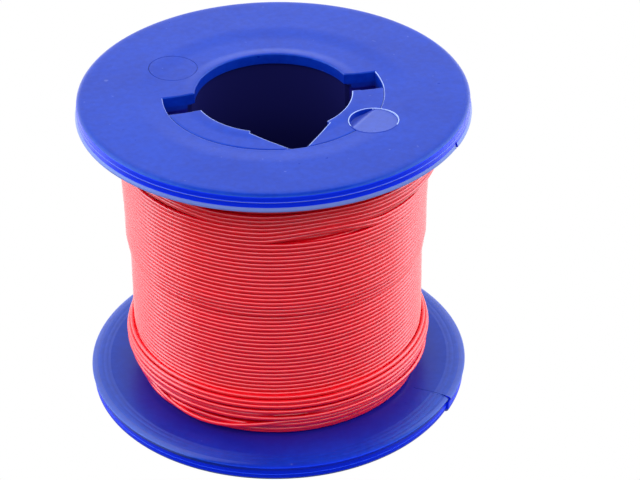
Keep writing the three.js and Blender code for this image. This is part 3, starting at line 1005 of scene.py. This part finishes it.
def wire_end():
    """The jacket's cut end with a shallow socket, and the copper strands that stand out of it."""
    centres = end_route(np.linspace(0, 1, WIRE_END["steps"]))
    tip = centres[-1]
    along = (centres[-1] - centres[-2]) / np.linalg.norm(centres[-1] - centres[-2])
    out = centres * [1, 1, 0]
    out /= np.linalg.norm(out, axis=1)[:, None]
    up = np.cross(out, np.gradient(centres, axis=0))
    up /= np.linalg.norm(up, axis=1)[:, None]
    strand_room = STRAND["rings"][-1][1] + STRAND["radius"] + 0.02
    last = [(WIRE_RADIUS - 0.05, 0.05), (strand_room, 0.05), (strand_room, -0.6)]
    centres = np.concatenate([centres, [tip + along * step for _, step in last]])
    out = np.concatenate([out, np.repeat(out[-1:], len(last), axis=0)])
    up = np.concatenate([up, np.repeat(up[-1:], len(last), axis=0)])
    radii_along = [WIRE_RADIUS] * WIRE_END["steps"] + [radius for radius, _ in last]
    points = tube_points(centres, out, up, radii_along, 16)
    jacket = make_object("wire_end_insulation", points, grid_faces(len(centres), 16, ring=False))
    finish_piece(jacket, "wire_jacket", "wire_end_jacket")

    steps, sides = STRAND["steps"], STRAND["sides"]
    strand_radii = [STRAND["radius"] * 0.96] * steps
    all_points, all_faces = [], []
    for count, ring_radius in STRAND["rings"]:
        for turn in 2 * math.pi * np.arange(count) / count:
            bare = WIRE_END["bare"] + 0.03 * math.sin(5 * turn + ring_radius * 40)
            rows = np.linspace(-0.5, bare, steps)
            twist = turn + 0.5 * rows
            flat = np.cos(twist)[:, None] * out[-1] + np.sin(twist)[:, None] * up[-1]
            strand = tip + along * rows[:, None] + ring_radius * flat
            start = len(all_points) * steps * sides
            all_points.append(tube_points(strand, out[-1:], up[-1:], strand_radii, sides))
            faces = grid_faces(steps, sides, ring=False)
            all_faces += [[start + corner for corner in face] for face in faces]
    strands = make_object("wire_end_strands", all_points, all_faces)
    finish_piece(strands, "wire_copper", "wire_end_copper")


# ---- Studio ----

FLOOR_SIZE, FLOOR_CELLS, FLOOR_DROP = 6000, 8, 0.2
FLOOR_GLOW = (1.4, 0.03)  # behind the spool, and in front of it
WALLS = {"side": 3.1, "back_low": 1.9, "back": 0.95, "front_low": 0.1, "front": 2.15, "ceiling": 0.15}
LIGHT_SIZE = 0.6  # metres, as the lights' places are. Each light has its power after its place.
LIGHTS = {
    "top_light": ((-0.2, 0.1, 0.95), 0.25), "left_light": ((-0.9, 0.1, 0.3), 0.9),
    "right_light": ((0.85, 0.3, 0.3), 0.7),
}


def white_to_camera(tree, shader, output):
    """Shows the camera plain white, and everything else this shader."""
    white, choose = node(tree, "ShaderNodeEmission"), node(tree, "ShaderNodeMixShader")
    fill(tree, white, {"Strength": 1.0})
    seen = node(tree, "ShaderNodeLightPath").outputs["Is Camera Ray"]
    connect(tree, choose.inputs, (seen, shader, white.outputs["Emission"]))
    fill(tree, output, {"Surface": choose.outputs["Shader"]})


def add_floor():
    """A pale floor that glows behind and beside the spool, less in front and not under it."""
    half, row = FLOOR_SIZE / 2, FLOOR_CELLS + 1
    steps = np.linspace(-half, half, row)
    points = [[x, y, -FLOOR_DROP] for x in steps for y in steps]
    corners = [row * i + j for i in range(FLOOR_CELLS) for j in range(FLOOR_CELLS)]
    faces = [[corner, corner + 1, corner + row + 1, corner + row] for corner in corners]
    floor = make_object("floor", points, faces)
    material, tree, shader, place = new_material("pale_floor")
    rim = FLANGE_RADIUS * MM
    from_axis = vector_math(tree, "DISTANCE", place, (0, 0, 0))
    clear = map_range(tree, from_axis, rim * 0.93, rim * 1.0, 0, 1)
    forward = vector_math(tree, "DOT_PRODUCT", place, TOWARDS_CAMERA)
    nearness = map_range(tree, forward, -1.2 * rim, 0.9 * rim, *FLOOR_GLOW)
    fill(tree, shader, {
        "Emission Strength": arithmetic(tree, "MULTIPLY", clear, nearness),
        "Emission Color": (1, 1, 1, 1), "Base Color": (0.05, 0.05, 0.05, 1), "Roughness": 0.8,
    })
    white_to_camera(tree, shader.outputs["BSDF"], tree.nodes["Material Output"])
    floor.data.materials.append(material)


def add_world():
    """Soft surroundings: bright side walls, a back wall that dims upwards, and on the camera's side
    a softbox wall above a dim floor. Seen directly, they are plain white."""
    world = bpy.data.worlds.new("studio")
    bpy.context.scene.world = world
    world.use_nodes = True
    tree = world.node_tree
    tree.nodes.clear()
    direction = node(tree, "ShaderNodeTexCoord").outputs["Generated"]
    up = vector_math(tree, "DOT_PRODUCT", direction, (0, 0, 1))
    forward = vector_math(tree, "DOT_PRODUCT", direction, TOWARDS_CAMERA)

    def mixed(first, second, share):
        difference = arithmetic(tree, "SUBTRACT", second, first)
        return arithmetic(tree, "ADD", first, arithmetic(tree, "MULTIPLY", share, difference))

    back = map_range(tree, up, 0.05, 0.45, WALLS["back_low"], WALLS["back"])
    front = map_range(tree, up, 0.32, 0.44, WALLS["front_low"], WALLS["front"])
    walls = mixed(back, WALLS["side"], map_range(tree, forward, -0.75, -0.35, 0, 1))
    walls = mixed(walls, front, map_range(tree, forward, -0.1, 0.5, 0, 1))
    level = mixed(walls, WALLS["ceiling"], map_range(tree, up, 0.75, 0.92, 0, 1))
    lit = node(tree, "ShaderNodeBackground")
    fill(tree, lit, {"Color": (1, 1, 1, 1), "Strength": level})
    white_to_camera(tree, lit.outputs["Background"], node(tree, "ShaderNodeOutputWorld"))


def add_lights():
    middle = Vector((0, 0, HEIGHT * MM / 2))
    for name, (place, power) in LIGHTS.items():
        data = bpy.data.lights.new(name, "AREA")
        data.shape, data.size, data.energy = "SQUARE", LIGHT_SIZE, power
        lamp = bpy.data.objects.new(name, data)
        lamp.location = place
        lamp.rotation_euler = (middle - Vector(place)).to_track_quat("-Z", "Y").to_euler()
        bpy.context.scene.collection.objects.link(lamp)


# ---- Everything ----

def dress_hidden_nodes():
    """The barrel and the ribs keep their CAD shapes, in the spool's plastic."""
    for name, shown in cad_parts.items():
        if name == "winding_barrel" or name.startswith("core_rib"):
            shown.data.materials.clear()
            shown.data.materials.append(MATERIALS["spool_plastic"])


add_floor()
add_world()
add_lights()
bpy.context.scene.view_settings.view_transform = "Standard"

random_numbers = np.random.default_rng(14)
flange("upper")
flange("lower")
for plate_level in ("upper", "lower"):
    for plate_side in (-1, 1):
        hub_plate(plate_level, plate_side, random_numbers)
core_sleeve()
dress_hidden_nodes()
for layer_number in range(1, LAYERS + 1):
    layer_turns(layer_number, random_numbers)
upper_end = upper_layer(random_numbers)
crossing_turns(random_numbers)
loose_turns(upper_end, random_numbers)
wire_end()

bpy.context.view_layer.update()
